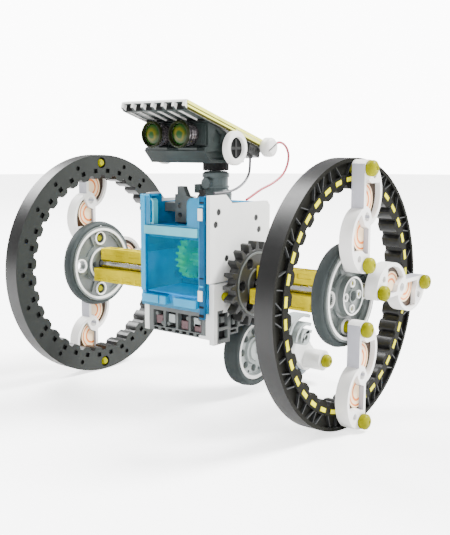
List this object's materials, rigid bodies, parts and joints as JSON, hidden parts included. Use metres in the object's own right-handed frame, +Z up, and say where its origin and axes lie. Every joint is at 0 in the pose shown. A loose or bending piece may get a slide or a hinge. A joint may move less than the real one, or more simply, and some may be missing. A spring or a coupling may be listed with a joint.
{
  "type": "two-wheeled solar robot",
  "caption": "Two-wheeled toy robot with tall ring wheels, a geared clear-blue body, twin round eyes under a tilting solar panel, and a trailing foot.",
  "frame": {"origin": "on the floor under the middle of the robot's overall box", "axes": "+X along the wheel axle to the robot's left hand, -Y the way its face looks, +Z up"},
  "size_m": [0.1714, 0.1159, 0.133],
  "materials": {
    "ring_black": "satin black",
    "tyre_rubber": "matte rubber",
    "white_plastic": "satin moulded",
    "grey_plastic": "satin moulded",
    "dark_plastic": "satin moulded",
    "slate_plastic": "satin moulded",
    "yellow_plastic": "satin moulded",
    "clear_blue": "clear gloss",
    "dark_blue": "gloss",
    "solar_blue": "glossy cell under clear cover",
    "steel": "brushed",
    "red_wire": "wire sleeve",
    "black_wire": "wire sleeve"
  },
  "bodies": {
    "chassis": {"gearbox_housing": "clear_blue", "housing_flange": "dark_blue", "side_plate_right": "white_plastic", "side_plate_left": "white_plastic", "top_bridge": "grey_plastic", "side_bracket": "white_plastic", "lower_chassis": "grey_plastic", "wheel_hanger": "grey_plastic", "motor": "steel", "tail_arm": "white_plastic", "tail_foot": "grey_plastic", "tail_peg": "yellow_plastic", "neck": "grey_plastic", "wire_red": "red_wire", "wire_black": "black_wire"},
    "wheel_right": {"ring_right": "ring_black", "hub_right": "white_plastic", "hub_tyre_right": "tyre_rubber", "bar_upper_right": "yellow_plastic", "bar_lower_right": "yellow_plastic", "spoke_up_right": "white_plastic", "peg_hub_up_right": "yellow_plastic", "peg_ring_up_right": "yellow_plastic", "spoke_rear_right": "white_plastic", "peg_hub_rear_right": "yellow_plastic", "peg_ring_rear_right": "yellow_plastic", "spoke_down_right": "white_plastic", "peg_hub_down_right": "yellow_plastic", "peg_ring_down_right": "yellow_plastic", "axle": "steel", "axle_gear": "white_plastic", "outer_gear": "dark_plastic"},
    "wheel_left": {"ring_left": "ring_black", "hub_left": "white_plastic", "hub_tyre_left": "tyre_rubber", "bar_upper_left": "yellow_plastic", "bar_lower_left": "yellow_plastic", "spoke_up_left": "white_plastic", "peg_hub_up_left": "yellow_plastic", "peg_ring_up_left": "yellow_plastic", "spoke_rear_left": "white_plastic", "peg_hub_rear_left": "yellow_plastic", "peg_ring_rear_left": "yellow_plastic", "spoke_down_left": "white_plastic", "peg_hub_down_left": "yellow_plastic", "peg_ring_down_left": "yellow_plastic"},
    "idler": {"idler_gear": "yellow_plastic"},
    "pinion": {"motor_pinion": "white_plastic"},
    "guide_wheel": {"lower_wheel": "grey_plastic", "lower_tyre": "tyre_rubber"},
    "head": {"neck_collar": "dark_plastic", "head_shell": "slate_plastic", "eye_left": "dark_plastic", "eye_right": "dark_plastic"},
    "panel": {"ear_right": "white_plastic", "ear_left": "white_plastic", "panel_frame": "white_plastic", "solar_cell": "solar_blue", "panel_knob": "white_plastic", "panel_clip": "dark_plastic"}
  },
  "joints": [
    {"name": "wheel_right_spin", "type": "hinge", "parent": "chassis", "child": "wheel_right", "pos_m": [0, -0.003, 0.055], "axis": [1, 0, 0], "continuous": true},
    {"name": "wheel_left_spin", "type": "hinge", "parent": "chassis", "child": "wheel_left", "pos_m": [0, -0.003, 0.055], "axis": [1, 0, 0], "continuous": true},
    {"name": "idler_spin", "type": "hinge", "parent": "chassis", "child": "idler", "pos_m": [0, -0.011, 0.06531], "axis": [1, 0, 0], "continuous": true},
    {"name": "pinion_spin", "type": "hinge", "parent": "chassis", "child": "pinion", "pos_m": [0, -0.00135, 0.07341], "axis": [1, 0, 0], "continuous": true},
    {"name": "guide_wheel_spin", "type": "hinge", "parent": "chassis", "child": "guide_wheel", "pos_m": [0.011, 0.012, 0.0205], "axis": [1, 0, 0], "continuous": true},
    {"name": "head_swivel", "type": "hinge", "parent": "chassis", "child": "head", "pos_m": [0.002, 0.0015, 0.1035], "axis": [0, 0, 1], "range_deg": [-50, 50]},
    {"name": "panel_tilt", "type": "hinge", "parent": "head", "child": "panel", "pos_m": [0.002, -0.0105, 0.1135], "axis": [1, 0, 0], "range_deg": [-10, 0]}
  ],
  "couplings": [
    {"joint": "wheel_left_spin", "follows": "wheel_right_spin", "ratio": 1},
    {"joint": "idler_spin", "follows": "wheel_right_spin", "ratio": -2.625},
    {"joint": "pinion_spin", "follows": "wheel_right_spin", "ratio": 6.5625}
  ]
}
